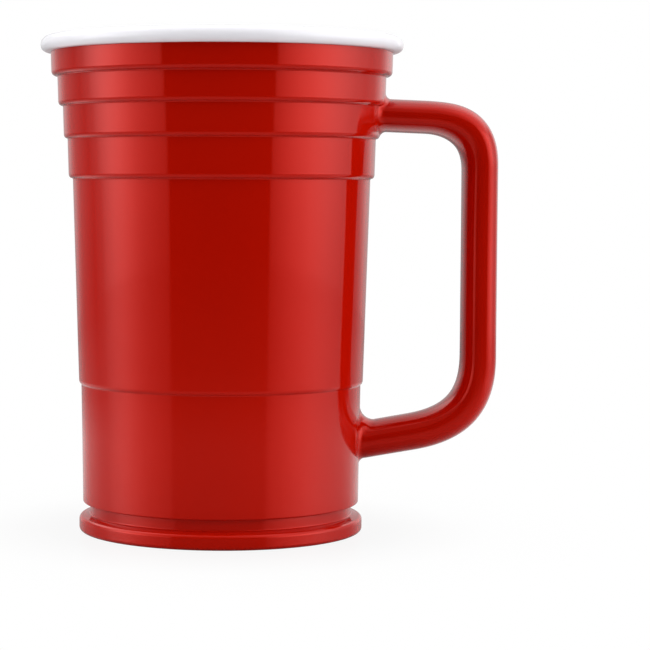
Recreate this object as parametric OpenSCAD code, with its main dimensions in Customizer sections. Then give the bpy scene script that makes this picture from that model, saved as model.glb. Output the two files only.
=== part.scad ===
// Plastic beer mug, all sizes in millimetres.
// The mug stands on its foot ring: Z is the axis of the cup, Z = 0 is the table,
// and the handle reaches out along +X.

/* [Body] */
// Radius of the red wall where it meets the rim
mouth_r = 51.0; // [45:0.5:60]
// Narrowing of the wall for each millimetre down, on the five bands
draft = 0.030; // [0.015:0.005:0.045]
// Narrowing of the wall for each millimetre down, on the base
base_draft = 0.014; // [0.005:0.001:0.03]
// Height of the first band, under the rim
band1_h = 7.63; // [6:0.01:12]
// Height of the second band
band2_h = 8.8; // [6:0.05:12]
// Height of the third band, which carries the top arm of the handle
band3_h = 9.66; // [8:0.01:13]
// Height of the fourth band
band4_h = 11.84; // [8:0.01:15]
// Height of the long fifth band
band5_h = 61.27; // [50:0.01:75]
// Height of the base, from its lower edge to the long band
base_h = 35.2; // [30:0.2:45]

/* [Steps] */
// Step in, from the first band to the second
step1 = 1.76; // [1:0.02:2]
// Step in, from the second band to the third
step2 = 1.35; // [1:0.01:2]
// Step in, from the third band to the fourth
step3 = 1.08; // [0.7:0.01:1.5]
// Step in, from the fourth band to the fifth
step4 = 1.21; // [0.7:0.01:1.5]
// Step in, from the fifth band to the base
step5 = 0.66; // [0.5:0.01:1.2]
// Height of the rounded lower edge of a band
lip_h = 1.35; // [1:0.05:1.6]
// Height of the hollow corner under that edge
cove_h = 0.5; // [0.3:0.05:0.8]

/* [Walls] */
// Thickness of the red wall
shell_t = 1.8; // [1.4:0.1:2.4]
// Thickness of the red floor
floor_t = 2.0; // [1.4:0.1:3]
// Thickness of the white liner
liner_t = 1.4; // [1:0.1:2]
// Radius of the corner between the red wall and its floor, inside
corner_r = 8.0; // [7:0.5:12]

/* [Rim] */
// Height of the white bead above the red wall
bead_rise = 4.6; // [4.6:0.1:6]
// How far the bead stands out from the red wall
bead_out = 3.05; // [2:0.05:4]
// Rounding of the bead, outside at the top
bead_top_r = 2.65; // [2:0.05:3]
// Rounding of the bead, outside at the bottom
bead_low_r = 1.9; // [1.2:0.1:2.2]
// Rounding of the bead, inside at the top
bead_in_r = 2.4; // [1.5:0.1:2.8]

/* [Foot] */
// Height of the neck between the foot ring and the base
neck_h = 3.5; // [2.5:0.1:5]
// Depth of the neck, in from the lower edge of the base
neck_d = 2.1; // [1.5:0.1:2.6]
// Height of the foot ring where it meets the neck
foot_h = 5.1; // [4:0.1:7]
// How far the foot ring stands out past the lower edge of the base
foot_out = 1.12; // [0.6:0.02:2]
// Fall of the top of the foot ring, from the neck out to its shoulder
foot_fall = 0.45; // [0.2:0.05:0.8]
// Rounding of the shoulder of the foot ring
foot_round = 1.25; // [0.8:0.05:1.5]
// Rounding of the foot ring at the table
foot_edge = 1.1; // [0.6:0.1:1.5]
// Small rounding of the sharp edges at the neck
edge_r = 0.45; // [0.3:0.05:0.6]
// Depth of the hollow under the floor
recess_h = 5.0; // [3:0.1:7]
// Rounding at the top of that hollow
recess_r = 1.5; // [1:0.1:2.5]

/* [Handle] */
// Room for the fingers, from the top of the long band to the grip
finger_gap = 27.6; // [22:0.1:36]
// Drop from the lower edge of the second band to the middle of the top arm
top_arm_drop = 2.0; // [1.5:0.1:3.5]
// Rise from the lower edge of the base to the middle of the low arm
low_arm_rise = 18.3; // [14:0.1:22]
// Fall of the top arm away from the wall, in degrees
top_tilt = 2.3; // [0:0.1:6]
// Fall of the low arm towards the wall, in degrees
low_tilt = 9.9; // [4:0.1:16]
// Thickness of the top arm at the wall
top_arm_t = 9.8; // [8:0.1:11]
// Thickness of the top bend
top_bend_t = 11.25; // [9:0.05:13]
// Thickness of the grip
grip_t = 10.5; // [8:0.1:13]
// Thickness of the low bend
low_bend_t = 10.9; // [9:0.1:13]
// Thickness of the low arm at the wall
low_arm_t = 10.8; // [8:0.1:13]
// Width of the top arm, across the handle
top_arm_w = 24.5; // [18:0.5:28]
// Width of the grip, across the handle
grip_w = 19.0; // [16:0.5:26]
// Width of the low arm, across the handle
low_arm_w = 17.0; // [12:0.5:22]
// Length of the top bend along the arm
top_bend_arm = 16.6; // [12:0.2:20]
// Length of the top bend along the grip
top_bend_grip = 14.7; // [10:0.1:20]
// Length of the low bend along the arm
low_bend_arm = 20.3; // [14:0.1:24]
// Length of the low bend along the grip
low_bend_grip = 19.4; // [14:0.2:26]
// Squareness of the section: 2 is an ellipse, more is squarer
section_power = 2.5; // [2:0.1:4]
// Fillet above the top arm
top_flare_up = 1.8; // [1:0.1:3]
// Fillet below the top arm
top_flare_down = 2.0; // [1:0.1:2.5]
// Fillet at each side of the top arm
top_flare_side = 3.0; // [2:0.1:5]
// Fillet above the low arm
low_flare_up = 4.5; // [2:0.1:6]
// Fillet below the low arm
low_flare_down = 1.8; // [1:0.1:4]
// Fillet at each side of the low arm
low_flare_side = 2.0; // [1.5:0.1:5]

/* [Hidden] */
$fn = 144;

// Steps on each rounded edge of the profile
arc_steps = 6;
// Least height of a rounded edge on the inner surfaces
lip_min = 0.4;
// Sides of the handle's section, and steps along each of its stretches
section_n = 32;
flare_steps = 5;
bend_steps = 9;
grip_steps = 4;
arm_steps = 2;
// Pull of a bend towards its corner
bend_pull = 0.7;
// Places along the handle, as parts of its length, where its thickness turns: the end of the
// top arm, the top bend, the two ends of the grip and the low bend
thick_places = [0.10, 0.19, 0.28, 0.62, 0.80];
// The stretch along the handle that is as wide as the grip
wide_places = [0.45, 0.65];
// How deep a fillet runs into the wall, so that the two surfaces cross
flare_sink = 0.15;
// Straight stretch of each arm that is kept between its fillet and the swept part
flare_spare = 1;
// How far each end of the handle runs into the wall before it is trimmed
end_sink = 3;
// Spare height of the cavity above the wall that it hollows out
cut_spare = 1;

// Heights, from the table up
base_z = foot_h + neck_h;
band_hs = [band1_h, band2_h, band3_h, band4_h, band5_h, base_h];
wall_top_z = base_z + band1_h + band2_h + band3_h + band4_h + band5_h + base_h;
rim_z = wall_top_z + bead_rise;
shell_floor_z = recess_h + floor_t;
liner_floor_z = shell_floor_z + liner_t;

// The bands are numbered from 0 at the rim to 5 at the base
steps_in = [step1, step2, step3, step4, step5];
drafts = [draft, draft, draft, draft, draft, base_draft];
base_band = len(band_hs) - 1;
function top_z(k) = k == 0 ? wall_top_z : top_z(k - 1) - band_hs[k - 1];
function top_r(k) = k == 0 ? mouth_r : low_r(k - 1) - steps_in[k - 1];
function low_r(k) = top_r(k) - drafts[k] * band_hs[k];
function band_r(k, z) = top_r(k) - drafts[k] * (top_z(k) - z);
// Radius of the wall at a height, on whichever band lies there
function band_at(z) = len([for (k = [1:base_band]) if (top_z(k) > z) k]);
function wall_r(z) = band_r(band_at(z), z);

// Radii at the foot
base_r = low_r(base_band);
neck_r = base_r - neck_d;
foot_r = base_r + foot_out;
hollow_r = neck_r - shell_t;

// Points of an elliptical arc about a centre
function arc(centre, rx, rz, from, to) =
    [for (i = [0:arc_steps]) let (a = from + (to - from) * i / arc_steps)
        centre + [rx * cos(a), rz * sin(a)]];

// The rounded step under band k, for a surface that lies inset from the outside
function band_step(k, inset) =
    let (lip = max(lip_min, lip_h - inset / 2), cove = cove_h + inset / 2)
    let (low_z = top_z(k + 1) + inset, mid_z = low_z + cove, high_z = mid_z + lip)
    let (high_r = band_r(k, high_z) - inset, end_r = band_r(k + 1, low_z) - inset)
    let (mid_r = high_r - (high_r - end_r) * lip / (lip + cove))
    concat(arc([mid_r, high_z], high_r - mid_r, lip, 0, -90),
           arc([mid_r, low_z], mid_r - end_r, cove, 90, 180));

// The wall from the top down to the base band, inset from the outside
function wall_side(inset) =
    concat([[mouth_r - inset, wall_top_z]],
           [for (k = [0:base_band - 1]) each band_step(k, inset)]);

// The rounded corner of a cavity and its floor
function cavity_corner(inset, radius, floor_z) =
    arc([band_r(base_band, floor_z + radius) - inset - radius, floor_z + radius],
        radius, radius, 0, -90);

// The whole side of the red shell, from the mouth to the middle of the hollow under it
function shell_side() =
    let (shoulder_r = foot_r - foot_round, shoulder_z = foot_h - foot_fall)
    concat(wall_side(0),
           arc([base_r - edge_r, base_z + edge_r], edge_r, edge_r, 0, -90),
           arc([neck_r + edge_r, base_z - edge_r], edge_r, edge_r, 90, 180),
           arc([neck_r + edge_r, foot_h + edge_r], edge_r, edge_r, 180, 270),
           arc([shoulder_r, shoulder_z - foot_round], foot_round, foot_round, 90, 0),
           arc([foot_r - foot_edge, foot_edge], foot_edge, foot_edge, 0, -90),
           arc([hollow_r + edge_r, edge_r], edge_r, edge_r, -90, -180),
           arc([hollow_r - recess_r, recess_h - recess_r], recess_r, recess_r, 0, 90),
           [[0, recess_h]]);

// The cavity that the liner fills, from the top of the red wall to the middle of its floor
function cavity_side() =
    concat(wall_side(shell_t), cavity_corner(shell_t, corner_r, shell_floor_z),
           [[0, shell_floor_z]]);

// Solid of revolution of the shell, before its cavity is cut
module shell_blank() {
    rotate_extrude() polygon(concat([[0, wall_top_z]], shell_side()));
}

// The same cavity as a solid to cut with, open above the wall
module shell_cavity() {
    cut_z = wall_top_z + cut_spare;
    rotate_extrude()
        polygon(concat([[0, cut_z], [mouth_r - shell_t, cut_z]], cavity_side()));
}

// Centre line of the handle in the XZ plane. The top arm leaves the third band,
// and the low arm leaves the base.
top_joint_z = wall_top_z - band1_h - band2_h - top_arm_drop;
low_joint_z = base_z + low_arm_rise;
top_joint_r = wall_r(top_joint_z);
low_joint_r = wall_r(low_joint_z);
grip_x = top_r(base_band - 1) + finger_gap + grip_t / 2;
top_joint = [top_joint_r, top_joint_z];
low_joint = [low_joint_r, low_joint_z];
top_way = [cos(top_tilt), -sin(top_tilt)];
low_way = [-cos(low_tilt), -sin(low_tilt)];
top_corner = [grip_x, top_joint[1] - (grip_x - top_joint_r) * tan(top_tilt)];
low_corner = [grip_x, low_joint[1] + (grip_x - low_joint_r) * tan(low_tilt)];
top_bend = [top_corner - top_way * top_bend_arm, top_corner - [0, top_bend_grip]];
low_bend = [low_corner + [0, low_bend_grip], low_corner + low_way * low_bend_arm];
// Where the arms' fillets end and their straight stretches begin
top_flare_run = max(top_flare_up, top_flare_down, top_flare_side) + flare_spare;
low_flare_run = max(low_flare_up, low_flare_down, low_flare_side) + flare_spare;
top_arm_start = top_joint + top_way * top_flare_run / cos(top_tilt);
low_arm_end = low_joint - low_way * low_flare_run / cos(low_tilt);

function bezier(a, b, c, d, t) =
    pow(1 - t, 3) * a + 3 * pow(1 - t, 2) * t * b + 3 * (1 - t) * t * t * c + pow(t, 3) * d;
function bend_point(bend, corner, t) =
    bezier(bend[0], bend[0] + (corner - bend[0]) * bend_pull,
           bend[1] + (corner - bend[1]) * bend_pull, bend[1], t);

centre_line = concat(
    [for (i = [0:arm_steps]) top_arm_start + (top_bend[0] - top_arm_start) * i / arm_steps],
    [for (i = [1:bend_steps]) bend_point(top_bend, top_corner, i / bend_steps)],
    [for (i = [1:grip_steps]) top_bend[1] + (low_bend[0] - top_bend[1]) * i / grip_steps],
    [for (i = [1:bend_steps]) bend_point(low_bend, low_corner, i / bend_steps)],
    [for (i = [1:arm_steps]) low_bend[1] + (low_arm_end - low_bend[1]) * i / arm_steps]);

// Direction of the centre line at each of its points
last = len(centre_line) - 1;
function way_at(i) =
    let (d = i == 0 ? top_way : i == last ? low_way : centre_line[i + 1] - centre_line[i - 1])
    d / norm(d);

// Distance along the centre line from the top joint, as a part of its whole length
line = concat([top_joint], centre_line, [low_joint]);
function run_to(i) = i == 0 ? 0 : run_to(i - 1) + norm(line[i] - line[i - 1]);
full_run = run_to(len(line) - 1);
function ease(t) = (1 - cos(180 * t)) / 2;
function blend(a, b, from, to, s) = a + (b - a) * ease((s - from) / (to - from));
function thick_at(s) =
    s < thick_places[0] ? top_arm_t :
    s < thick_places[1] ? blend(top_arm_t, top_bend_t, thick_places[0], thick_places[1], s) :
    s < thick_places[2] ? blend(top_bend_t, grip_t, thick_places[1], thick_places[2], s) :
    s < thick_places[3] ? grip_t :
    s < thick_places[4] ? blend(grip_t, low_bend_t, thick_places[3], thick_places[4], s) :
    blend(low_bend_t, low_arm_t, thick_places[4], 1, s);
function wide_at(s) =
    s < wide_places[0] ? blend(top_arm_w, grip_w, 0, wide_places[0], s) :
    s < wide_places[1] ? grip_w :
    blend(grip_w, low_arm_w, wide_places[1], 1, s);

// A point of the section as [out of the loop, across], and the outward normal there
function rounded(v) = sign(v) * pow(abs(v), 2 / section_power);
function section_point(j, thick, wide) =
    let (a = 360 * j / section_n)
    [thick / 2 * rounded(cos(a)), wide / 2 * rounded(sin(a))];
function section_normal(j, thick, wide) =
    let (p = section_point(j, thick, wide), k = section_power - 1)
    let (n = [sign(p[0]) * pow(abs(2 * p[0] / thick), k) / thick,
              sign(p[1]) * pow(abs(2 * p[1] / wide), k) / wide])
    n / norm(n);

// One ring of the swept handle, at a point of its centre line
function sweep_ring(i) =
    let (s = run_to(i + 1) / full_run, way = way_at(i), out = [-way[1], way[0]])
    [for (j = [0:section_n - 1]) let (p = section_point(j, thick_at(s), wide_at(s)))
        [centre_line[i][0] + out[0] * p[0], p[1], centre_line[i][1] + out[1] * p[0]]];

// One ring of the fillet between an arm and the round wall. The fillet is a ball's track:
// its centre keeps to the arm and to the wall, and turn goes from the arm to the wall.
function flare_ring(joint, tilt, side, thick, wide, up, down, across, turn) =
    [for (j = [0:section_n - 1])
        let (p = section_point(j, thick, wide), n = section_normal(j, thick, wide))
        let (high = p[0] * side / cos(tilt), high_n = n[0] * side)
        let (r = across * n[1] * n[1] + (high_n > 0 ? up : down) * n[0] * n[0])
        let (reach = wall_r(joint[1] + high + r * high_n) + r - flare_sink)
        let (yc = p[1] + r * n[1])
        let (xc = sqrt(reach * reach - yc * yc))
        let (zc = joint[1] + (xc - joint[0]) * tan(tilt) + high + r * high_n)
        let (to_arm = [0, -n[1], -high_n], to_wall = [-xc, -yc, 0] / reach)
        let (d = to_arm * cos(turn) + to_wall * sin(turn))
        [xc, yc, zc] + d / norm(d) * r];

// Closing ring of an end, flat and well inside the wall
function end_ring(ring) =
    let (x = min([for (p = ring) p[0]]) - end_sink)
    [for (p = ring) [x, p[1], p[2]]];

function top_flare(turn) =
    flare_ring(top_joint, -top_tilt, 1, top_arm_t, top_arm_w,
               top_flare_up, top_flare_down, top_flare_side, turn);
function low_flare(turn) =
    flare_ring(low_joint, low_tilt, -1, low_arm_t, low_arm_w,
               low_flare_up, low_flare_down, low_flare_side, turn);

handle_rings = concat(
    [end_ring(top_flare(90))],
    [for (i = [flare_steps:-1:0]) top_flare(90 * i / flare_steps)],
    [for (i = [0:last]) sweep_ring(i)],
    [for (i = [0:flare_steps]) low_flare(90 * i / flare_steps)],
    [end_ring(low_flare(90))]);

// A closed skin over the rings, each of section_n points
module skin(rings) {
    n = section_n;
    m = len(rings);
    walls = [for (i = [0:m - 2], j = [0:n - 1])
        let (a = i * n + j, b = i * n + (j + 1) % n)
        each [[a, b, b + n], [a, b + n, a + n]]];
    ends = [[for (j = [n - 1:-1:0]) j], [for (j = [0:n - 1]) (m - 1) * n + j]];
    polyhedron([for (ring = rings) each ring], concat(walls, ends), convexity = 6);
}

// Red shell with its foot ring and its handle, moulded in one
module outer_shell() {
    color([0.80, 0.07, 0.04])
    difference() {
        union() {
            shell_blank();
            skin(handle_rings);
        }
        shell_cavity();
    }
}

// White liner, with the bead that stands on the red wall and out past it
module inner_liner() {
    inset = shell_t + liner_t;
    bead_r = mouth_r + bead_out;
    mouth_in_r = mouth_r - inset;
    outside = cavity_side();
    color([0.93, 0.93, 0.96])
    rotate_extrude()
        polygon(concat(
            [for (i = [len(outside) - 1:-1:0]) outside[i]],
            [[mouth_r, wall_top_z]],
            arc([bead_r - bead_low_r, wall_top_z + bead_low_r], bead_low_r, bead_low_r, -90, 0),
            arc([bead_r - bead_top_r, rim_z - bead_top_r], bead_top_r, bead_top_r, 0, 90),
            arc([mouth_in_r + bead_in_r, rim_z - bead_in_r], bead_in_r, bead_in_r, 90, 180),
            wall_side(inset),
            cavity_corner(inset, corner_r - liner_t, liner_floor_z),
            [[0, liner_floor_z]]));
}

outer_shell();
inner_liner();
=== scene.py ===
# Plastic beer mug: a red shell with its foot ring and handle, and a white liner with the rim.
# Shapes are worked out in millimetres, in the part's own frame, and stored in metres.
import bisect
import math
import bpy
from mathutils import Matrix, Vector
from mathutils.geometry import delaunay_2d_cdt


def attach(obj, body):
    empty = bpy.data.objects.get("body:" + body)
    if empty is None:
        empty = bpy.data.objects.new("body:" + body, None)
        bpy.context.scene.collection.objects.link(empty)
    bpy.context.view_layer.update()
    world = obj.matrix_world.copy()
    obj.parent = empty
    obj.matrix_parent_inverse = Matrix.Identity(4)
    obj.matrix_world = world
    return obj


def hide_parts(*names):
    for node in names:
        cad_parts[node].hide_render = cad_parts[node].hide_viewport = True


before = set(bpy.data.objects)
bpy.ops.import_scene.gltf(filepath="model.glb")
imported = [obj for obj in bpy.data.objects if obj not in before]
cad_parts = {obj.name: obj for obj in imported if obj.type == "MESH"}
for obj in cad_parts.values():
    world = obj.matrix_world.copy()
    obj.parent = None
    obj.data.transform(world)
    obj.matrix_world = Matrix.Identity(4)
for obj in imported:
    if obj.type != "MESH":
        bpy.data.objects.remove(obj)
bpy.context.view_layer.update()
MM = 0.001

# Body, from the rim down
MOUTH_R = 51.0
BAND_HEIGHTS = [7.63, 8.8, 9.66, 11.84, 61.27, 35.2]
STEPS_IN = [1.76, 1.35, 1.08, 1.21, 0.66]
DRAFTS = [0.030, 0.030, 0.030, 0.030, 0.030, 0.014]
BASE = len(BAND_HEIGHTS) - 1
LIP = 1.35
COVE = 0.5
LIP_MIN = 0.4
SHELL_T = 1.8
FLOOR_T = 2.0
LINER_T = 1.4
CORNER_R = 8.0

# Rim bead
BEAD_RISE = 4.6
BEAD_OUT = 3.05
BEAD_TOP_R = 2.65
BEAD_LOW_R = 1.9
BEAD_IN_R = 2.4

# Foot ring
NECK_H = 3.5
NECK_D = 2.1
FOOT_H = 5.1
FOOT_OUT = 1.12
FOOT_FALL = 0.45
FOOT_ROUND = 1.25
FOOT_EDGE = 1.1
EDGE_R = 0.45
RECESS_H = 5.0
RECESS_R = 1.5

# Handle
FINGER_GAP = 27.6
TOP_ARM_DROP = 2.0
LOW_ARM_RISE = 18.3
TOP_TILT = math.radians(2.3)
LOW_TILT = math.radians(9.9)
THICK = [9.8, 9.8, 11.25, 10.5, 10.5, 10.9, 10.8]
THICK_PLACES = [0.0, 0.10, 0.19, 0.28, 0.62, 0.80, 1.0]
WIDE = [24.5, 19.0, 19.0, 17.0]
WIDE_PLACES = [0.0, 0.45, 0.65, 1.0]
TOP_BEND = [16.6, 14.7]
LOW_BEND = [20.3, 19.4]
BEND_PULL = 0.7
POWER = 2.5
TOP_FLARE = {"up": 1.8, "down": 2.0, "side": 3.0}
LOW_FLARE = {"up": 4.5, "down": 1.8, "side": 2.0}
FLARE_SPARE = 1.0
# Height over which the wall's steps fade out along a fillet, towards the arm
TOP_FADE = 1.2
LOW_FADE = 0.0

# Fineness of the meshes
COLUMNS = 256
ARC_STEPS = 9
HIDDEN_STEPS = 4
EASE = 0.15
ROW_MAX = 8.0
FLARE_ANGLES = 240
FLARE_RINGS = 14
LOOP_ANGLES = 96
BEND_RINGS = 26
GRIP_RINGS = 24
ARM_RINGS = 5
RUN_STEPS = 60
# Least height over which the wall's radius is averaged
LEAST_REACH = 0.01
# Room between the wall's own points and a fillet's edge, and the reach of a link across it
EDGE_ROOM = 0.3
LINK_REACH = 3.0
# How near a row counts as on a step's edge
ROW_ROOM = 0.01
# Small steps of an angle and of a place along the handle, to find a normal
ANGLE_STEP = 0.004
PLACE_STEP = 0.01
# Holes in the lathed wall, round the two arms: heights, and half widths in columns
TOP_HOLE_Z = (133.0, 114.9)
LOW_HOLE_Z = (39.6, 16.6)
HALF_COLUMNS = (14, 12)

BASE_Z = FOOT_H + NECK_H
LEVELS = [BASE_Z + sum(BAND_HEIGHTS)]
for height in BAND_HEIGHTS:
    LEVELS.append(LEVELS[-1] - height)
TOP_RADII = [MOUTH_R]
for k in range(BASE):
    TOP_RADII.append(TOP_RADII[k] - DRAFTS[k] * BAND_HEIGHTS[k] - STEPS_IN[k])
WALL_TOP_Z = LEVELS[0]
RIM_Z = WALL_TOP_Z + BEAD_RISE
SHELL_FLOOR_Z = RECESS_H + FLOOR_T
LINER_FLOOR_Z = SHELL_FLOOR_Z + LINER_T


def band_r(k, z):
    return TOP_RADII[k] - DRAFTS[k] * (LEVELS[k] - z)


def step_form(k, inset):
    """Heights and radii of the rounded step under band k, on a surface inset from the outside."""
    lip = max(LIP_MIN, LIP - inset / 2)
    cove = COVE + inset / 2
    low_z = LEVELS[k + 1] + inset
    high_z = low_z + cove + lip
    high_r = band_r(k, high_z) - inset
    end_r = band_r(k + 1, low_z) - inset
    mid_r = high_r - (high_r - end_r) * lip / (lip + cove)
    return lip, cove, low_z, high_z, high_r, mid_r, end_r


STEP_FORMS = [step_form(k, 0) for k in range(BASE)]


def wall_at(z):
    """Radius of the outer wall at a height, and the slope of its outward normal, as (r, nr, nz)."""
    k = sum(1 for level in LEVELS[1:-1] if level > z)
    if k < BASE:
        lip, cove, low_z, high_z, high_r, mid_r, end_r = STEP_FORMS[k]
        if z < high_z:
            mid_z = low_z + cove
            if z >= mid_z:
                sine = (high_z - z) / lip
                cosine = math.sqrt(max(0.0, 1 - sine * sine))
                r = mid_r + (high_r - mid_r) * cosine
                nr, nz = cosine / (high_r - mid_r), -sine / lip
            else:
                sine = (z - low_z) / cove
                cosine = math.sqrt(max(0.0, 1 - sine * sine))
                r = mid_r - (mid_r - end_r) * cosine
                nr, nz = cosine / (mid_r - end_r), -sine / cove
            size = math.hypot(nr, nz)
            return r, nr / size, nz / size
    size = math.hypot(1, DRAFTS[k])
    return band_r(k, z), 1 / size, -DRAFTS[k] / size


def soft_wall_r(z, reach):
    """Radius of the outer wall, averaged over a height, so that steps fade."""
    if reach < LEAST_REACH:
        return wall_at(z)[0]
    total = 0
    weights = 0
    steps = 4
    for i in range(-steps, steps + 1):
        weight = steps + 1 - abs(i)
        total += weight * wall_at(z + reach * i / steps)[0]
        weights += weight
    return total / weights


# Profiles are lists of (r, z, nr, nz), with the surface's normal at each point

def arc(cr, cz, rx, rz, start, end, steps, side):
    points = []
    for i in range(steps + 1):
        angle = math.radians(start + (end - start) * i / steps)
        nr = side * math.cos(angle) / rx
        nz = side * math.sin(angle) / rz
        size = math.hypot(nr, nz)
        points.append((cr + rx * math.cos(angle), cz + rz * math.sin(angle), nr / size, nz / size))
    return points


def straight(start, end, normal, rows=()):
    """A straight stretch between two points, that keeps its own normal up to near its ends."""
    length = math.hypot(end[0] - start[0], end[1] - start[1])
    places = {min(0.5, EASE / length), max(0.5, 1 - EASE / length)}
    count = int(length / ROW_MAX)
    places.update(i / (count + 1) for i in range(1, count + 1))
    places.update((z - start[1]) / (end[1] - start[1]) for z in rows)
    return [(start[0] + (end[0] - start[0]) * t, start[1] + (end[1] - start[1]) * t, *normal)
            for t in sorted(places)]


def wall_profile(inset, side, steps, rows=()):
    """The stepped wall from its top to the top of the base band, inset from the outside."""
    points = []
    top = (MOUTH_R - inset, WALL_TOP_Z)
    for k in range(BASE):
        lip, cove, low_z, high_z, high_r, mid_r, end_r = step_form(k, inset)
        size = math.hypot(1, DRAFTS[k])
        normal = (side / size, -side * DRAFTS[k] / size)
        here = [z for z in rows if high_z + EASE < z < top[1] - EASE]
        points += straight(top, (high_r, high_z), normal, here)
        points += arc(mid_r, high_z, high_r - mid_r, lip, 0, -90, steps, side)
        points += arc(mid_r, low_z, mid_r - end_r, cove, 90, 180, steps, -side)[1:]
        top = (end_r, low_z)
    return points


def base_straight(inset, side, top_z, low_z, rows=()):
    size = math.hypot(1, DRAFTS[BASE])
    normal = (side / size, -side * DRAFTS[BASE] / size)
    here = [z for z in rows if low_z + EASE < z < top_z - EASE]
    return straight((band_r(BASE, top_z) - inset, top_z), (band_r(BASE, low_z) - inset, low_z),
                    normal, here)


def corner_profile(inset, radius, floor_z, steps):
    centre_z = floor_z + radius
    centre_r = band_r(BASE, centre_z) - inset - radius
    return arc(centre_r, centre_z, radius, radius, 0, -90, steps, -1) + [(0, floor_z, 0, 1)]


def cavity_profile():
    """The faces that shell and liner share, seen from inside the cup, from the top down."""
    points = [(MOUTH_R - SHELL_T, WALL_TOP_Z, -1, 0)]
    points += wall_profile(SHELL_T, -1, HIDDEN_STEPS)
    points += base_straight(SHELL_T, -1, LEVELS[BASE] + SHELL_T, SHELL_FLOOR_Z + CORNER_R)
    points += corner_profile(SHELL_T, CORNER_R, SHELL_FLOOR_Z, ARC_STEPS)
    return points


def shell_profile(rows):
    base_r = band_r(BASE, BASE_Z)
    neck_r = base_r - NECK_D
    foot_r = base_r + FOOT_OUT
    hollow_r = neck_r - SHELL_T
    shoulder_r = foot_r - FOOT_ROUND
    shoulder_z = FOOT_H - FOOT_FALL
    fall_run = shoulder_r - neck_r - EDGE_R
    fall_size = math.hypot(fall_run, FOOT_FALL)
    fall_normal = (FOOT_FALL / fall_size, fall_run / fall_size)
    n = ARC_STEPS
    cavity = cavity_profile()
    points = cavity[::-1]
    points += [(MOUTH_R, WALL_TOP_Z, 0.7, 0.7)]
    points += wall_profile(0, 1, n, rows)
    points += base_straight(0, 1, LEVELS[BASE], BASE_Z + EDGE_R, rows)
    points += arc(base_r - EDGE_R, BASE_Z + EDGE_R, EDGE_R, EDGE_R, 0, -90, n, 1)
    points += straight((base_r - EDGE_R, BASE_Z), (neck_r + EDGE_R, BASE_Z), (0, -1))
    points += arc(neck_r + EDGE_R, BASE_Z - EDGE_R, EDGE_R, EDGE_R, 90, 180, n, -1)
    points += straight((neck_r, BASE_Z - EDGE_R), (neck_r, FOOT_H + EDGE_R), (1, 0))
    points += arc(neck_r + EDGE_R, FOOT_H + EDGE_R, EDGE_R, EDGE_R, 180, 270, n, -1)
    points += straight((neck_r + EDGE_R, FOOT_H), (shoulder_r, shoulder_z), fall_normal)
    points += arc(shoulder_r, shoulder_z - FOOT_ROUND, FOOT_ROUND, FOOT_ROUND, 90, 0, n, 1)
    points += straight((foot_r, shoulder_z - FOOT_ROUND), (foot_r, FOOT_EDGE), (1, 0))
    points += arc(foot_r - FOOT_EDGE, FOOT_EDGE, FOOT_EDGE, FOOT_EDGE, 0, -90, n, 1)
    points += straight((foot_r - FOOT_EDGE, 0), (hollow_r + EDGE_R, 0), (0, -1))
    points += arc(hollow_r + EDGE_R, EDGE_R, EDGE_R, EDGE_R, -90, -180, n, 1)
    points += straight((hollow_r, EDGE_R), (hollow_r, RECESS_H - RECESS_R), (-1, 0))
    points += arc(hollow_r - RECESS_R, RECESS_H - RECESS_R, RECESS_R, RECESS_R, 0, 90, n, -1)
    points += [(0, RECESS_H, 0, -1)]
    return points, len(cavity)


def liner_profile():
    inset = SHELL_T + LINER_T
    bead_r = MOUTH_R + BEAD_OUT
    inner_r = MOUTH_R - inset
    n = ARC_STEPS
    points = [(r, z, -nr, -nz) for r, z, nr, nz in cavity_profile()[::-1]]
    points += [(MOUTH_R, WALL_TOP_Z, 0, -1)]
    points += arc(bead_r - BEAD_LOW_R, WALL_TOP_Z + BEAD_LOW_R, BEAD_LOW_R, BEAD_LOW_R, -90, 0, n, 1)
    points += arc(bead_r - BEAD_TOP_R, RIM_Z - BEAD_TOP_R, BEAD_TOP_R, BEAD_TOP_R, 0, 90, n, 1)
    points += arc(inner_r + BEAD_IN_R, RIM_Z - BEAD_IN_R, BEAD_IN_R, BEAD_IN_R, 90, 180, n, 1)
    points += wall_profile(inset, -1, n)
    points += base_straight(inset, -1, LEVELS[BASE] + inset, LINER_FLOOR_Z + CORNER_R - LINER_T)
    points += corner_profile(inset, CORNER_R - LINER_T, LINER_FLOOR_Z, 2 * n)
    return points


class Skin:
    """Points with their normals, and faces wound to agree with them."""

    def __init__(self):
        self.points = []
        self.normals = []
        self.faces = []

    def add(self, point, normal):
        self.points.append(tuple(point))
        self.normals.append(tuple(normal))
        return len(self.points) - 1

    def face(self, *ids):
        if len(set(ids)) < 3:
            return
        p = [self.points[i] for i in ids]
        a, b = (p[2], p[0]), (p[-1], p[1])
        ax, ay, az = (a[0][i] - a[1][i] for i in range(3))
        bx, by, bz = (b[0][i] - b[1][i] for i in range(3))
        way = (ay * bz - az * by, az * bx - ax * bz, ax * by - ay * bx)
        lean = sum(way[i] * sum(self.normals[j][i] for j in ids) for i in range(3))
        self.faces.append(ids if lean >= 0 else ids[::-1])

    def build(self, name):
        mesh = bpy.data.meshes.new(name)
        mesh.from_pydata([(x * MM, y * MM, z * MM) for x, y, z in self.points], [], self.faces)
        mesh.shade_smooth()
        mesh.normals_split_custom_set_from_vertices(self.normals)
        mesh.validate()
        piece = bpy.data.objects.new(name, mesh)
        bpy.context.collection.objects.link(piece)
        return piece


def column_angle(column):
    return 2 * math.pi * column / COLUMNS


def lathe_point(row, column):
    r, z, nr, nz = row
    angle = column_angle(column)
    return (r * math.cos(angle), r * math.sin(angle), z), \
        (nr * math.cos(angle), nr * math.sin(angle), nz)


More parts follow.
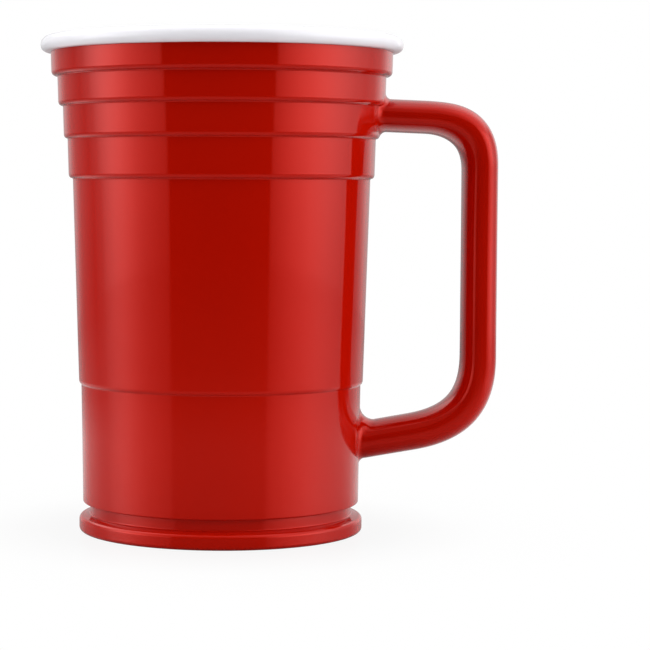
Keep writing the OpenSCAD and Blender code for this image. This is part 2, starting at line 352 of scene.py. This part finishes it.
def lathe(skin, profile, holes=()):
    """Turns the profile round Z, leaving out the holes (first row, last row, half width)."""
    ids = {}

    def inside(i, c):
        c = c if c <= COLUMNS // 2 else c - COLUMNS
        return any(a < i < b and -w < c < w for a, b, w in holes)

    for i, row in enumerate(profile):
        if row[0] == 0:
            pole = skin.add((0, 0, row[1]), (0, 0, row[3]))
            for c in range(COLUMNS):
                ids[i, c] = pole
            continue
        for c in range(COLUMNS):
            if not inside(i, c):
                ids[i, c] = skin.add(*lathe_point(row, c))
    for i in range(len(profile) - 1):
        for c in range(COLUMNS):
            d = (c + 1) % COLUMNS
            mid = c + 0.5 if c < COLUMNS // 2 else c + 0.5 - COLUMNS
            if any(a <= i < b and -w < mid < w for a, b, w in holes):
                continue
            quad = [ids[i, c], ids[i, d], ids[i + 1, d], ids[i + 1, c]]
            corners = list(dict.fromkeys(quad))
            skin.face(*corners)
    return ids


# The handle's section, at an angle round it: out of the loop at 0, across at 90 degrees

def section(angle, thick, wide):
    c, s = math.cos(angle), math.sin(angle)
    point = (math.copysign(abs(c) ** (2 / POWER), c) * thick / 2,
             math.copysign(abs(s) ** (2 / POWER), s) * wide / 2)
    k = POWER - 1
    nx = math.copysign(abs(2 * point[0] / thick) ** k, c) / thick
    ny = math.copysign(abs(2 * point[1] / wide) ** k, s) / wide
    size = math.hypot(nx, ny)
    return point, (nx / size, ny / size)


class Joint:
    """Where an arm meets the wall, with a rolling-ball fillet that follows the wall's steps."""

    def __init__(self, z, tilt, side, thick, wide, flare, fade):
        self.z = z
        self.k = sum(1 for level in LEVELS[1:-1] if level > z)
        self.r = band_r(self.k, z)
        self.tilt, self.side, self.thick, self.wide = tilt, side, thick, wide
        self.flare, self.fade = flare, fade

    def point(self, angle, turn):
        """Turn goes from 0, on the arm, to a quarter turn, on the wall."""
        p, n = section(angle, self.thick, self.wide)
        high = p[0] * self.side / math.cos(self.tilt)
        high_n = n[0] * self.side
        rise = self.flare["up"] if high_n > 0 else self.flare["down"]
        radius = self.flare["side"] * n[1] * n[1] + rise * n[0] * n[0]
        reach = self.r + radius
        yc = p[1] + radius * n[1]
        xc = math.sqrt(reach * reach - yc * yc)
        zc = self.z + (xc - self.r) * math.tan(self.tilt) + high + radius * high_n
        d = Vector((0, -n[1], -high_n)) * math.cos(turn) \
            + Vector((-xc / reach, -yc / reach, 0)) * math.sin(turn)
        d.normalize()
        x, y, z = xc + d.x * radius, yc + d.y * radius, zc + d.z * radius
        soft = self.fade * math.cos(turn) ** 2
        shift = math.sqrt(soft_wall_r(z, soft) ** 2 - y * y) - math.sqrt(self.r ** 2 - y * y)
        return Vector((x + shift, y, z + shift * math.tan(self.tilt) * math.cos(turn)))

    def normal(self, angle, turn):
        if turn > math.pi / 2 - 1e-6:
            p = self.point(angle, turn)
            r, nr, nz = wall_at(p.z)
            flat = math.hypot(p.x, p.y)
            return Vector((nr * p.x / flat, nr * p.y / flat, nz))
        step = ANGLE_STEP
        along = self.point(angle + step, turn) - self.point(angle - step, turn)
        high_turn, low_turn = min(math.pi / 2, turn + step), max(0, turn - step)
        up = self.point(angle, high_turn) - self.point(angle, low_turn)
        n = along.cross(up).normalized()
        _, flat_n = section(angle, self.thick, self.wide)
        out = Vector((1, flat_n[1], flat_n[0] * self.side))
        return n if n.dot(out) > 0 else -n

    def angles(self, rows):
        """Angles round the fillet, with one wherever its edge on the wall crosses a row."""
        quarter = math.pi / 2
        count = 720
        crossings = []
        for row_z in rows:
            for i in range(count):
                a, b = 2 * math.pi * i / count, 2 * math.pi * (i + 1) / count
                fa = self.point(a, quarter).z - row_z
                fb = self.point(b, quarter).z - row_z
                if (fa < 0) == (fb < 0):
                    continue
                for _ in range(40):
                    m = (a + b) / 2
                    if (self.point(m, quarter).z - row_z < 0) == (fa < 0):
                        a = m
                    else:
                        b = m
                crossings.append((a, row_z))
        near = math.pi / FLARE_ANGLES / 2
        plain = [2 * math.pi * i / FLARE_ANGLES for i in range(FLARE_ANGLES)]
        plain = [a for a in plain if all(abs(a - c) > near for c, _ in crossings)]
        return sorted([(a, None) for a in plain] + crossings, key=lambda item: item[0])


def in_loop(loop, u, v):
    inside = False
    for i in range(len(loop)):
        (ua, va), (ub, vb) = loop[i - 1], loop[i]
        if (va > v) != (vb > v) and u < ua + (ub - ua) * (v - va) / (vb - va):
            inside = not inside
    return inside


def join_to_wall(skin, ids, profile, hole, joint):
    """Fills a hole in the lathed wall round an arm, and returns the fillet's ring on the arm."""
    first, last, half = hole
    rows = profile[first:last + 1]
    heights = [row[1] for row in rows]
    runs = [0]
    for a, b in zip(rows, rows[1:]):
        runs.append(runs[-1] + math.hypot(b[0] - a[0], b[1] - a[1]))

    def run_at(z):
        for i in range(len(heights) - 1):
            if heights[i + 1] <= z <= heights[i]:
                t = (heights[i] - z) / max(1e-9, heights[i] - heights[i + 1])
                return runs[i] + t * (runs[i + 1] - runs[i])
        return runs[-1]

    lips = [z for z in heights[1:-1]
            if any(form[2] - ROW_ROOM <= z <= form[3] + ROW_ROOM for form in STEP_FORMS)]
    angles = joint.angles(lips)
    quarter = math.pi / 2
    edge = [joint.point(a, quarter) for a, _ in angles]
    ring = [skin.add(p, joint.normal(a, quarter)) for p, (a, _) in zip(edge, angles)]
    loop = [(joint.r * math.atan2(p.y, p.x), run_at(p.z)) for p in edge]

    spots = []
    owners = []
    known = {}
    for i in range(len(rows)):
        for c in range(-half, half + 1):
            u, v = joint.r * column_angle(c), runs[i]
            on_edge = i in (0, len(rows) - 1) or abs(c) == half
            column = c % COLUMNS
            if not on_edge:
                gap = min((u - lu) ** 2 + (v - lv) ** 2 for lu, lv in loop)
                if gap < EDGE_ROOM ** 2 or in_loop(loop, u, v):
                    continue
                ids[first + i, column] = skin.add(*lathe_point(rows[i], column))
            known[i, c] = len(spots)
            spots.append(Vector((u, v)))
            owners.append(ids[first + i, column])
    start = len(spots)
    spots += [Vector(p) for p in loop]
    owners += ring
    n = len(loop)
    links = [(start + j, start + (j + 1) % n) for j in range(n)]
    for i in range(len(rows)):
        for c in range(-half, half):
            if (i, c) in known and (i, c + 1) in known:
                links.append((known[i, c], known[i, c + 1]))
    for c in (-half, half):
        for i in range(len(rows) - 1):
            links.append((known[i, c], known[i + 1, c]))
    for j, (_, row_z) in enumerate(angles):
        if row_z is None:
            continue
        i = min(range(len(heights)), key=lambda k: abs(heights[k] - row_z))
        u = loop[j][0]
        near = [c for c in range(-half, half + 1) if (i, c) in known]
        near.sort(key=lambda c: abs(joint.r * column_angle(c) - u))
        for c in near[:1]:
            column_u = joint.r * column_angle(c)
            if not in_loop(loop, (u + column_u) / 2, runs[i]) and abs(column_u - u) < LINK_REACH:
                links.append((known[i, c], start + j))
    points, _, faces, origins, _, _ = delaunay_2d_cdt(spots, links, [], 0, 1e-7)
    for face in faces:
        corners = []
        for v in face:
            if not origins[v]:
                raise RuntimeError("a new point came up where an arm joins the wall")
            corners.append(origins[v][0])
        u = sum(spots[v][0] for v in corners) / 3
        v = sum(spots[v][1] for v in corners) / 3
        if not in_loop(loop, u, v):
            skin.face(*(owners[c] for c in corners))
    for step in range(FLARE_RINGS - 1, -1, -1):
        turn = quarter * step / FLARE_RINGS
        inner = [skin.add(joint.point(a, turn), joint.normal(a, turn)) for a, _ in angles]
        for j in range(n):
            k = (j + 1) % n
            skin.face(ring[j], ring[k], inner[k], inner[j])
        ring = inner
    return ring, [a for a, _ in angles]


def stitch(skin, ring, angles, other, other_angles):
    """Joins two rings of different counts, by their angles."""
    i = j = 0
    n, m = len(ring), len(other)
    while i < n or j < m:
        next_i = angles[i + 1] if i + 1 < n else angles[0] + 2 * math.pi
        next_j = other_angles[j + 1] if j + 1 < m else other_angles[0] + 2 * math.pi
        if j >= m or (i < n and next_i <= next_j):
            skin.face(ring[i % n], ring[(i + 1) % n], other[j % m])
            i += 1
        else:
            skin.face(ring[i % n], other[(j + 1) % m], other[j % m])
            j += 1


# Centre line of the handle, in the XZ plane

def flat(x, z):
    return Vector((x, z))


TOP_JOINT_Z = LEVELS[2] - TOP_ARM_DROP
LOW_JOINT_Z = BASE_Z + LOW_ARM_RISE
top_joint = Joint(TOP_JOINT_Z, -TOP_TILT, 1, THICK[0], WIDE[0], TOP_FLARE, TOP_FADE)
low_joint = Joint(LOW_JOINT_Z, LOW_TILT, -1, THICK[-1], WIDE[-1], LOW_FLARE, LOW_FADE)
GRIP_X = TOP_RADII[BASE - 1] + FINGER_GAP + THICK[4] / 2
top_start = flat(top_joint.r, TOP_JOINT_Z)
low_end = flat(low_joint.r, LOW_JOINT_Z)
top_way = flat(math.cos(TOP_TILT), -math.sin(TOP_TILT))
low_way = flat(-math.cos(LOW_TILT), -math.sin(LOW_TILT))
top_corner = flat(GRIP_X, TOP_JOINT_Z - (GRIP_X - top_joint.r) * math.tan(TOP_TILT))
low_corner = flat(GRIP_X, LOW_JOINT_Z + (GRIP_X - low_joint.r) * math.tan(LOW_TILT))
top_bend = (top_corner - top_way * TOP_BEND[0], top_corner - flat(0, TOP_BEND[1]))
low_bend = (low_corner + flat(0, LOW_BEND[1]), low_corner + low_way * LOW_BEND[0])
top_run = (max(TOP_FLARE.values()) + FLARE_SPARE) / math.cos(TOP_TILT)
low_run = (max(LOW_FLARE.values()) + FLARE_SPARE) / math.cos(LOW_TILT)
arm_start = top_start + top_way * top_run
arm_end = low_end - low_way * low_run


def line_piece(a, b):
    return lambda t: a + (b - a) * t


def bend_piece(bend, corner):
    a, d = bend
    b = a + (corner - a) * BEND_PULL
    c = d + (corner - d) * BEND_PULL

    def at(t):
        s = 1 - t
        return a * s ** 3 + b * (3 * s * s * t) + c * (3 * s * t * t) + d * t ** 3
    return at


PIECES = [line_piece(arm_start, top_bend[0]), bend_piece(top_bend, top_corner),
          line_piece(top_bend[1], low_bend[0]), bend_piece(low_bend, low_corner),
          line_piece(low_bend[1], arm_end)]
RING_COUNTS = [ARM_RINGS, BEND_RINGS, GRIP_RINGS, BEND_RINGS, ARM_RINGS]
run_table = [(arm_start - top_start).length]
for piece in PIECES:
    for i in range(RUN_STEPS):
        step = (piece((i + 1) / RUN_STEPS) - piece(i / RUN_STEPS)).length
        run_table.append(run_table[-1] + step)
full_run = run_table[-1] + (low_end - arm_end).length


def centre(u):
    """Point, direction and place along the whole handle, for u from 0 to the piece count."""
    k = min(len(PIECES) - 1, max(0, int(u)))
    t = u - k
    eps = 1e-3
    way = (PIECES[k](t + eps) - PIECES[k](t - eps)).normalized()
    spot = min(max(u, 0), len(PIECES) - 1e-9) * RUN_STEPS
    i = int(spot)
    run = run_table[i] + (run_table[i + 1] - run_table[i]) * (spot - i)
    return PIECES[k](t), way, run / full_run


def eased(values, places, s):
    i = max(0, min(len(values) - 2, bisect.bisect_right(places, s) - 1))
    t = (s - places[i]) / (places[i + 1] - places[i])
    return values[i] + (values[i + 1] - values[i]) * (1 - math.cos(math.pi * t)) / 2


def handle_point(u, angle):
    p, way, s = centre(u)
    out = flat(-way[1], way[0])
    q, _ = section(angle, eased(THICK, THICK_PLACES, s), eased(WIDE, WIDE_PLACES, s))
    return Vector((p[0] + out[0] * q[0], q[1], p[1] + out[1] * q[0]))


def handle_normal(u, angle):
    low, high = max(0, u - PLACE_STEP), min(len(PIECES), u + PLACE_STEP)
    around = handle_point(u, angle + ANGLE_STEP) - handle_point(u, angle - ANGLE_STEP)
    along = handle_point(high, angle) - handle_point(low, angle)
    n = around.cross(along).normalized()
    p = centre(u)[0]
    away = handle_point(u, angle) - Vector((p[0], 0, p[1]))
    return n if n.dot(away) > 0 else -n


def handle_loop(skin, start_ring, start_angles, end_ring, end_angles):
    """Sweeps the bar from the top arm's fillet to the low arm's."""
    angles = [2 * math.pi * j / LOOP_ANGLES for j in range(LOOP_ANGLES)]
    places = [k + i / count for k, count in enumerate(RING_COUNTS) for i in range(count)]
    places.append(len(PIECES))
    before = None
    for u in places:
        ring = [skin.add(handle_point(u, a), handle_normal(u, a)) for a in angles]
        if before is None:
            stitch(skin, start_ring, start_angles, ring, angles)
        else:
            for j in range(LOOP_ANGLES):
                k = (j + 1) % LOOP_ANGLES
                skin.face(before[j], before[k], ring[k], ring[j])
        before = ring
    stitch(skin, end_ring, end_angles, before, angles)


# Shell, with its handle, and liner

def row_of(profile, start, z):
    return min(range(start, len(profile)), key=lambda i: abs(profile[i][1] - z))


profile, outer_start = shell_profile(TOP_HOLE_Z + LOW_HOLE_Z)
holes = []
for (high, low), half in zip((TOP_HOLE_Z, LOW_HOLE_Z), HALF_COLUMNS):
    holes.append((row_of(profile, outer_start, high), row_of(profile, outer_start, low), half))
shell_skin = Skin()
grid = lathe(shell_skin, profile, holes)
top_ring, top_angles = join_to_wall(shell_skin, grid, profile, holes[0], top_joint)
low_ring, low_angles = join_to_wall(shell_skin, grid, profile, holes[1], low_joint)
handle_loop(shell_skin, top_ring, top_angles, low_ring, low_angles)
shell = shell_skin.build("red_shell")

liner_skin = Skin()
lathe(liner_skin, liner_profile())
liner = liner_skin.build("white_liner")


# Materials

class Nodes:
    """A short way to make a material's nodes and links."""

    def __init__(self, owner):
        owner.use_nodes = True
        self.tree = owner.node_tree
        self.tree.nodes.clear()

    def add(self, kind, **values):
        node = self.tree.nodes.new(kind)
        for key, value in values.items():
            if hasattr(node, key) and key not in node.inputs:
                setattr(node, key, value)
            else:
                node.inputs[key].default_value = value
        return node

    def link(self, source, target):
        self.tree.links.new(source, target)

    def math(self, operation, a, b):
        node = self.tree.nodes.new("ShaderNodeMath")
        node.operation = operation
        for socket, value in zip(node.inputs, (a, b)):
            if isinstance(value, (int, float)):
                socket.default_value = value
            else:
                self.link(value, socket)
        return node.outputs[0]

    def ramp(self, source, stops):
        node = self.tree.nodes.new("ShaderNodeValToRGB")
        self.link(source, node.inputs[0])
        elements = node.color_ramp.elements
        while len(elements) > 1:
            elements.remove(elements[-1])
        for i, (place, value) in enumerate(stops):
            element = elements[0] if i == 0 else elements.new(place)
            element.position = place
            shade = value if isinstance(value, tuple) else (value, value, value)
            element.color = (*shade, 1)
        return node.outputs[0]


# Each noise texture's repeats to the metre, and its detail
CLOUDS = (38.0, 3.0)
GLOSS = (160.0, 2.0)
RIPPLE = (55.0, 1.0)
# Noise between these two levels is spread over the whole range of colour or gloss
NOISE_LOW = 0.3
NOISE_HIGH = 0.7
# How far light travels on under the surface of a plastic that lets it in
GLOW_DEPTH = 8 * MM


def plastic(name, colour, darker, roughness, tint, ior, ripple, glow):
    """Moulded glossy plastic: a faint ripple, faint clouds in the colour and in the gloss.
    Roughness is a pair, smooth and dull. Ripple is its height in metres, and glow is the share
    of light that travels on under the surface."""
    material = bpy.data.materials.new(name)
    nodes = Nodes(material)
    place = nodes.add("ShaderNodeTexCoord").outputs["Object"]

    def noise(scale, detail):
        node = nodes.add("ShaderNodeTexNoise", Scale=scale, Detail=detail)
        nodes.link(place, node.inputs["Vector"])
        return node.outputs[0]

    shade = nodes.ramp(noise(*CLOUDS), [(NOISE_LOW, darker), (NOISE_HIGH, colour)])
    smooth, dull = roughness
    rough = nodes.ramp(noise(*GLOSS), [(NOISE_LOW, smooth), (NOISE_HIGH, dull)])
    bump = nodes.add("ShaderNodeBump", Strength=1.0, Distance=ripple)
    nodes.link(noise(*RIPPLE), bump.inputs["Height"])
    shader = nodes.add("ShaderNodeBsdfPrincipled")
    shader.inputs["IOR"].default_value = ior
    shader.inputs["Specular Tint"].default_value = (*tint, 1)
    shader.inputs["Subsurface Weight"].default_value = glow
    shader.inputs["Subsurface Scale"].default_value = GLOW_DEPTH
    shader.inputs["Subsurface Radius"].default_value = (1, 1, 1)
    nodes.link(shade, shader.inputs["Base Color"])
    nodes.link(rough, shader.inputs["Roughness"])
    nodes.link(bump.outputs[0], shader.inputs["Normal"])
    output = nodes.add("ShaderNodeOutputMaterial")
    nodes.link(shader.outputs[0], output.inputs[0])
    return material


red = plastic("red_plastic", colour=(0.475, 0.0052, 0.0004), darker=(0.46, 0.0049, 0.0004),
              roughness=(0.05, 0.07), tint=(1.0, 0.115, 0.095), ior=1.82, ripple=0.000012, glow=0)
white = plastic("white_plastic", colour=(0.885, 0.88, 0.97), darker=(0.875, 0.87, 0.96),
                roughness=(0.16, 0.20), tint=(1.0, 1.0, 1.0), ior=1.5, ripple=0.000010, glow=0.6)

for piece, node, material, slot in ((shell, "outer_shell", red, "red_plastic"),
                                    (liner, "inner_liner", white, "white_plastic")):
    piece.data.materials.append(material)
    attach(piece, "root")
    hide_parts(node)


# Floor: pale near the mug, and as white as the background from a hand's width out

FLOOR_R = 0.9
FLOOR_SIDES = 96
FLOOR_DROP = 0.00005
# How much of what the camera sees there is plain white, by the distance from the mug's axis
FLOOR_WHITE = [(0.048, 0.9), (0.08, 0.985), (0.12, 1.0)]
# Painted light in the floor's grey, as reflections and the light see it, by the same distance:
# darker right by the mug, a painted shade for the foot to reflect, paler a hand's width out, for
# painted bounce light on the rim's underside, and fading to near black far out
FLOOR_PAINTED_LIGHT = [(0.05, 0.35), (0.10, 0.6), (0.24, 0.6), (0.40, 0.2), (0.75, 0.04)]


def make_floor():
    mesh = bpy.data.meshes.new("floor")
    ring = []
    for i in range(FLOOR_SIDES):
        angle = 2 * math.pi * i / FLOOR_SIDES
        ring.append((FLOOR_R * math.cos(angle), FLOOR_R * math.sin(angle), -FLOOR_DROP))
    mesh.from_pydata(ring, [], [tuple(range(FLOOR_SIDES))])
    floor = bpy.data.objects.new("floor", mesh)
    bpy.context.collection.objects.link(floor)
    material = bpy.data.materials.new("floor")
    nodes = Nodes(material)
    place = nodes.add("ShaderNodeTexCoord").outputs["Object"]
    size = nodes.add("ShaderNodeVectorMath", operation="LENGTH")
    nodes.link(place, size.inputs[0])
    far = nodes.ramp(size.outputs["Value"], FLOOR_WHITE)
    seen = nodes.add("ShaderNodeLightPath").outputs["Is Camera Ray"]
    part = nodes.math("MULTIPLY", far, seen)
    shader = nodes.add("ShaderNodeBsdfPrincipled", Roughness=0.22)
    # The floor's colour here is painted light: painted shade by the mug, painted bounce light
    # further out
    shade = nodes.ramp(size.outputs["Value"], FLOOR_PAINTED_LIGHT)
    nodes.link(shade, shader.inputs["Base Color"])
    glow = nodes.add("ShaderNodeEmission", Strength=1.0)
    mix = nodes.add("ShaderNodeMixShader")
    nodes.link(part, mix.inputs[0])
    nodes.link(shader.outputs[0], mix.inputs[1])
    nodes.link(glow.outputs[0], mix.inputs[2])
    output = nodes.add("ShaderNodeOutputMaterial")
    nodes.link(mix.outputs[0], output.inputs[0])
    mesh.materials.append(material)


make_floor()


# Studio: a tall soft box at each side, softer light above them, and white far behind.
# Each list gives the light's strength by the compass, with 0 towards the camera's side and
# the handle's side positive, in degrees.

LOW_LIGHT = [(-180, 0.5), (-155, 0.7), (-140, 0.4), (-128, 0.35), (-116, 0.3), (-106, 0.8),
             (-97, 2.3), (-89, 3.7), (-81, 4.2), (-73, 3.8), (-66, 3.0), (-59, 2.4), (-52, 1.9),
             (-46, 1.5), (-41, 1.2), (-39.8, 0.05), (36.5, 0.05), (38, 1.2), (44, 2.0),
             (50, 2.7), (57, 3.4), (64, 3.8), (71, 4.1), (79, 3.8), (87, 3.1), (96, 2.1),
             (106, 1.2), (118, 0.6), (132, 0.5), (148, 1.0), (180, 0.5)]
HIGH_LIGHT = [(-180, 0.6), (-135, 2.0), (-90, 2.6), (-60, 1.1), (-30, 0.4), (0, 0.4), (30, 0.9),
              (60, 2.1), (90, 1.6), (135, 1.6), (180, 0.6)]
LIGHT_MAX = 5.0
TOP_LIGHT = 1.3
# Each list gives how much of a light there is, by the height in degrees above the horizon
LOW_HEIGHTS = [(-6.9, 0.45), (0, 0.85), (2.3, 1.0), (20, 1.0), (28, 0.0)]
HIGH_HEIGHTS = [(20, 0.0), (28, 1.0), (62, 1.0), (70, 0.0)]
TOP_HEIGHTS = [(62, 0.0), (70, 1.0)]


def make_world():
    world = bpy.data.worlds.new("studio")
    bpy.context.scene.world = world
    nodes = Nodes(world)
    way = nodes.add("ShaderNodeTexCoord").outputs["Generated"]
    parts = nodes.add("ShaderNodeSeparateXYZ")
    nodes.link(way, parts.inputs[0])
    x, y, z = parts.outputs
    angle = nodes.math("ARCTAN2", x, nodes.math("MULTIPLY", y, -1.0))
    turn = nodes.math("ADD", nodes.math("DIVIDE", angle, 2 * math.pi), 0.5)
    rise = nodes.math("ADD", nodes.math("MULTIPLY", z, 0.5), 0.5)

    def band(heights):
        return nodes.ramp(rise, [(0.5 + math.sin(math.radians(a)) / 2, part) for a, part in heights])

    def light(strengths, heights):
        ring = nodes.ramp(turn, [(0.5 + a / 360, value / LIGHT_MAX) for a, value in strengths])
        return nodes.math("MULTIPLY", nodes.math("MULTIPLY", ring, band(heights)), LIGHT_MAX)

    low = light(LOW_LIGHT, LOW_HEIGHTS)
    high = light(HIGH_LIGHT, HIGH_HEIGHTS)
    top = nodes.math("MULTIPLY", band(TOP_HEIGHTS), TOP_LIGHT)
    total = nodes.math("ADD", nodes.math("ADD", low, high), top)
    seen = nodes.add("ShaderNodeLightPath").outputs["Is Camera Ray"]
    mix = nodes.math("ADD", nodes.math("MULTIPLY", total, nodes.math("SUBTRACT", 1.0, seen)), seen)
    glow = nodes.add("ShaderNodeBackground", Color=(1, 1, 1, 1))
    nodes.link(mix, glow.inputs["Strength"])
    output = nodes.add("ShaderNodeOutputWorld")
    nodes.link(glow.outputs[0], output.inputs[0])


make_world()


# Camera, placed and turned as the photograph was taken. The photograph is a crop, so the lens's
# axis meets it left of its middle.

FRAME_PX = 650
FOCAL_PX = 2197.8
AXIS_PX = 222
SENSOR_MM = 36
CAMERA_AT = (0, -0.660, 0.10361)
YAW, PITCH, ROLL = (math.radians(a) for a in (0.023, 3.643, 0.186))


def make_camera():
    data = bpy.data.cameras.new("camera")
    data.sensor_width = SENSOR_MM
    data.lens = SENSOR_MM * FOCAL_PX / FRAME_PX
    data.shift_x = (FRAME_PX / 2 - AXIS_PX) / FRAME_PX
    camera = bpy.data.objects.new("camera", data)
    ahead = Vector((math.sin(YAW) * math.cos(PITCH), math.cos(YAW) * math.cos(PITCH),
                    -math.sin(PITCH)))
    right = Vector((math.cos(YAW), -math.sin(YAW), 0))
    up = right.cross(ahead)
    right_rolled = right * math.cos(ROLL) + up * math.sin(ROLL)
    up_rolled = up * math.cos(ROLL) - right * math.sin(ROLL)
    turn = Matrix((right_rolled, up_rolled, -ahead)).transposed()
    camera.matrix_world = Matrix.Translation(CAMERA_AT) @ turn.to_4x4()
    bpy.context.collection.objects.link(camera)
    bpy.context.scene.camera = camera


make_camera()
bpy.context.scene.view_settings.view_transform = "Standard"
